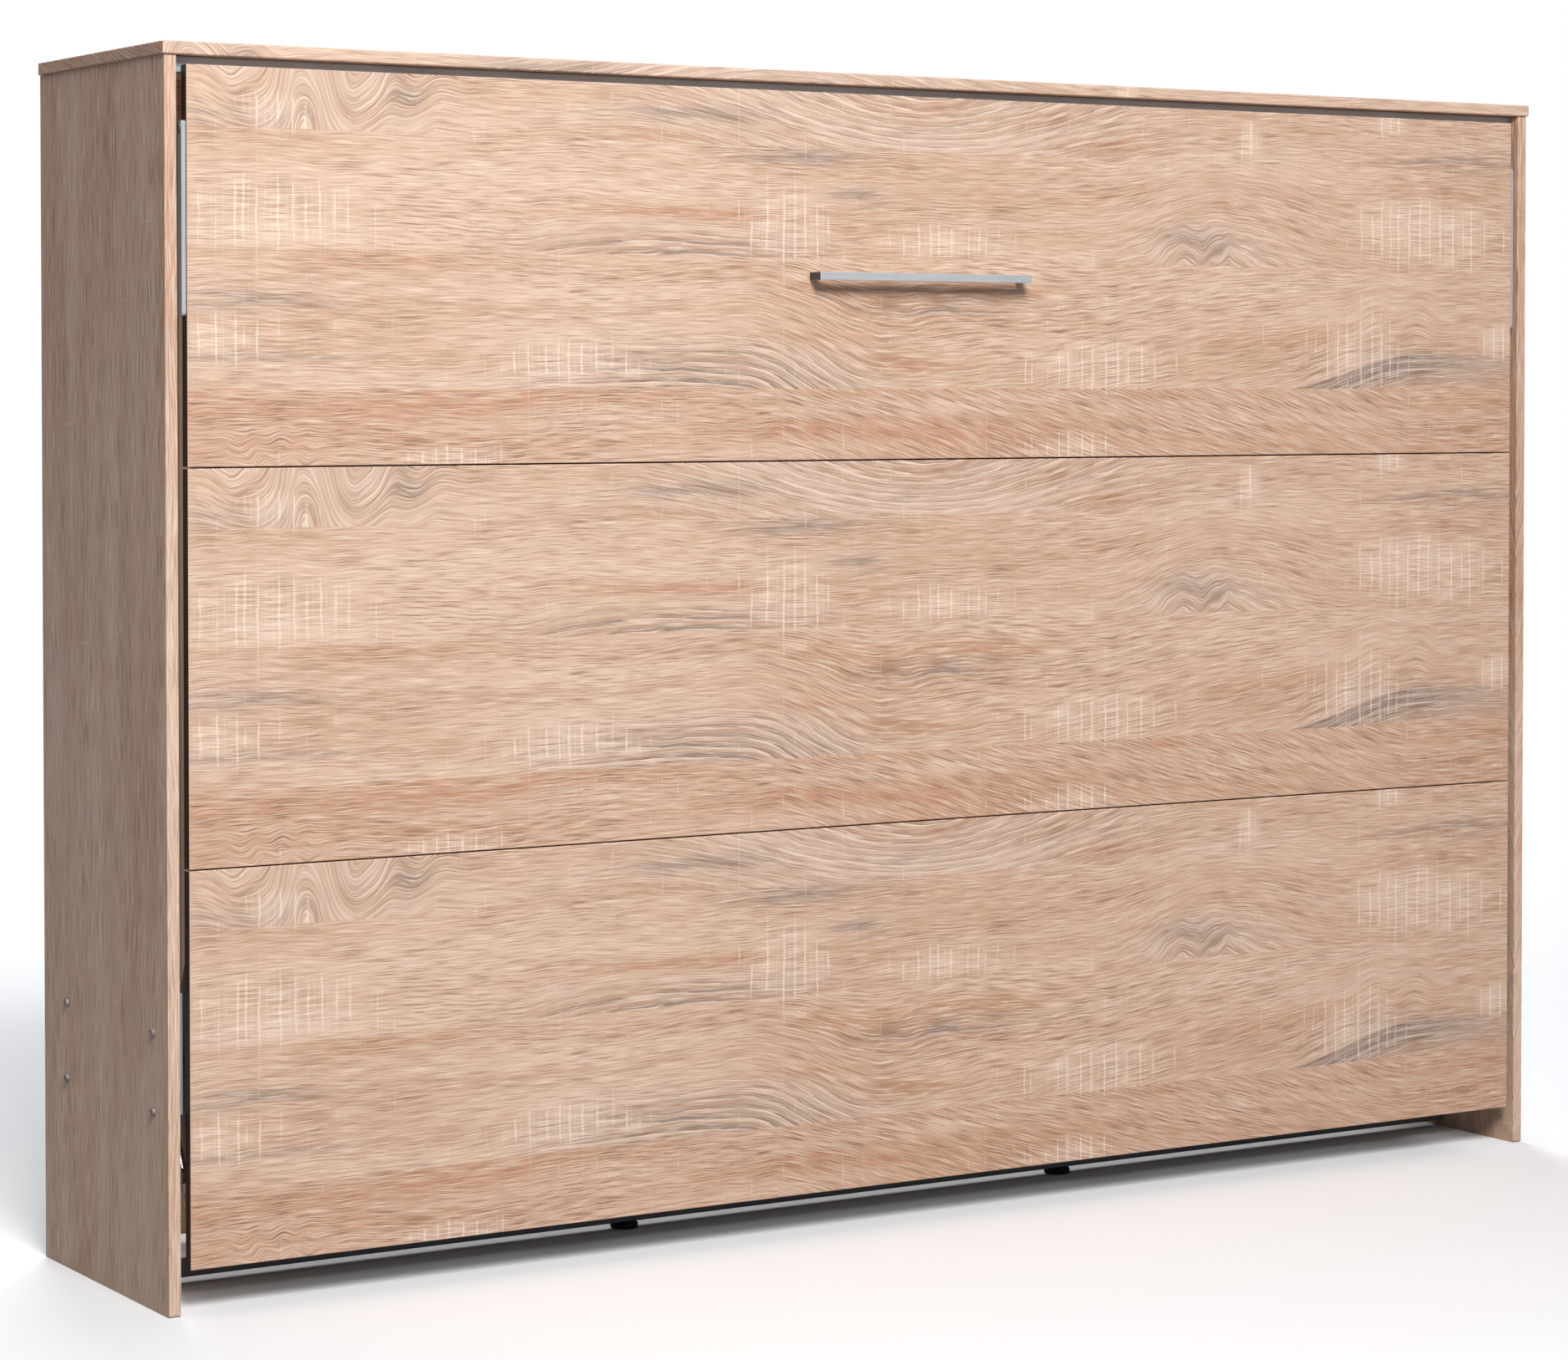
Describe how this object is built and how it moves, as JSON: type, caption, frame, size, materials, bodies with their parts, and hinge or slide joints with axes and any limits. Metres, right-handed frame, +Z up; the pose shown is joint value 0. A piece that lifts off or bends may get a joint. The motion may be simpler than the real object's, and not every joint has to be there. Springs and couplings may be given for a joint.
{
  "type": "horizontal wall bed",
  "caption": "Horizontal wall bed in an oak laminate cabinet: its boarded front with a bar handle folds down on side hinges with gas struts, carrying slats, a mattress and swing-out legs.",
  "frame": {"origin": "middle of the overall footprint on the floor, with the bed folded away and the handle counted in the depth", "axes": "+X along the cabinet's width to its right-hand end, +Y from the front to the wall, +Z up"},
  "size_m": [2.2186, 0.443, 1.575],
  "materials": {
    "oak_laminate": "satin wood-print laminate on chipboard",
    "silver_metal": "satin silver",
    "zinc_steel": "zinc plated",
    "leg_steel": "silver powder coat",
    "strut_black": "black satin paint",
    "strut_rod": "ground and nitrided",
    "mechanism_grey": "dark grey powder coat",
    "frame_grey": "light grey powder coat",
    "birch": "lacquered plywood",
    "black_plastic": "moulded",
    "ticking": "quilted cover",
    "webbing": "woven strap"
  },
  "bodies": {
    "cabinet": {"left_side_panel": "oak_laminate", "right_side_panel": "oak_laminate", "top_board": "oak_laminate", "top_stop_rail": "frame_grey", "front_floor_rail": "mechanism_grey", "floor_rail_foot_left": "black_plastic", "floor_rail_foot_right": "black_plastic", "upper_rear_traverse": "oak_laminate", "lower_rear_traverse": "oak_laminate", "wall_bracket_left": "zinc_steel", "wall_bracket_right": "zinc_steel", "mechanism_plate_left": "mechanism_grey", "mechanism_plate_right": "mechanism_grey", "bolt_left_lower_front": "zinc_steel", "bolt_left_upper_front": "zinc_steel", "bolt_left_lower_rear": "zinc_steel", "bolt_left_upper_rear": "zinc_steel", "bolt_right_lower_front": "zinc_steel", "bolt_right_upper_front": "zinc_steel", "bolt_right_lower_rear": "zinc_steel", "bolt_right_upper_rear": "zinc_steel", "pivot_pin_left": "zinc_steel", "pivot_pin_right": "zinc_steel", "strut_bracket_left": "mechanism_grey", "strut_bracket_right": "mechanism_grey"},
    "bed": {"front_board_lower": "oak_laminate", "front_board_middle": "oak_laminate", "front_board_upper": "oak_laminate", "pull_handle": "silver_metal", "frame_tube_bottom": "frame_grey", "frame_tube_top": "frame_grey", "frame_tube_left": "frame_grey", "frame_tube_right": "frame_grey", "frame_middle_beam": "frame_grey", "slat_01": "birch", "slat_02": "birch", "slat_03": "birch", "slat_04": "birch", "slat_05": "birch", "slat_06": "birch", "slat_07": "birch", "slat_08": "birch", "slat_09": "birch", "slat_10": "birch", "slat_11": "birch", "mattress_ledge": "frame_grey", "mattress": "ticking", "mattress_strap_left": "webbing", "mattress_strap_right": "webbing", "hinge_arm_left": "mechanism_grey", "hinge_arm_right": "mechanism_grey", "leg_screw_left": "zinc_steel", "leg_screw_right": "zinc_steel"},
    "leg_left": {"leg_left": "leg_steel"},
    "leg_right": {"leg_right": "leg_steel"},
    "gas_cylinder_left": {"gas_cylinder_left": "strut_black"},
    "gas_cylinder_right": {"gas_cylinder_right": "strut_black"},
    "gas_rod_left": {"gas_rod_left": "strut_rod"},
    "gas_rod_right": {"gas_rod_right": "strut_rod"}
  },
  "joints": [
    {"name": "bed_tilt", "type": "hinge", "parent": "cabinet", "child": "bed", "pos_m": [0, -0.1135, 0.307], "axis": [1, 0, 0], "range_deg": [0, 90], "stiffness_Nm_per_rad": 250, "springref_deg": -20.05},
    {"name": "leg_left_swing", "type": "hinge", "parent": "bed", "child": "leg_left", "pos_m": [-1.0791, -0.1855, 1.4705], "axis": [1, 0, 0], "range_deg": [-90, 0]},
    {"name": "leg_right_swing", "type": "hinge", "parent": "bed", "child": "leg_right", "pos_m": [1.0791, -0.1855, 1.4705], "axis": [1, 0, 0], "range_deg": [-90, 0]},
    {"name": "gas_cylinder_left_swing", "type": "hinge", "parent": "cabinet", "child": "gas_cylinder_left", "pos_m": [-1.068, 0.1565, 0.8], "axis": [1, 0, 0], "range_deg": [0, 12.4]},
    {"name": "gas_cylinder_right_swing", "type": "hinge", "parent": "cabinet", "child": "gas_cylinder_right", "pos_m": [1.068, 0.1565, 0.8], "axis": [1, 0, 0], "range_deg": [0, 12.4]},
    {"name": "gas_rod_left_slide", "type": "slide", "parent": "gas_cylinder_left", "child": "gas_rod_left", "axis": [0, 0.4398, 0.8981], "range_m": [0, 0.1564]},
    {"name": "gas_rod_right_slide", "type": "slide", "parent": "gas_cylinder_right", "child": "gas_rod_right", "axis": [0, 0.4398, 0.8981], "range_m": [0, 0.1564]}
  ],
  "couplings": [
    {"joint": "leg_left_swing", "follows": "bed_tilt", "ratio": -1},
    {"joint": "leg_right_swing", "follows": "bed_tilt", "ratio": -1},
    {"joint": "gas_cylinder_left_swing", "follows": "bed_tilt", "ratio": 0.13762},
    {"joint": "gas_cylinder_right_swing", "follows": "bed_tilt", "ratio": 0.13762},
    {"joint": "gas_rod_left_slide", "follows": "bed_tilt", "m_per_rad": 0.099445},
    {"joint": "gas_rod_right_slide", "follows": "bed_tilt", "m_per_rad": 0.099445}
  ]
}
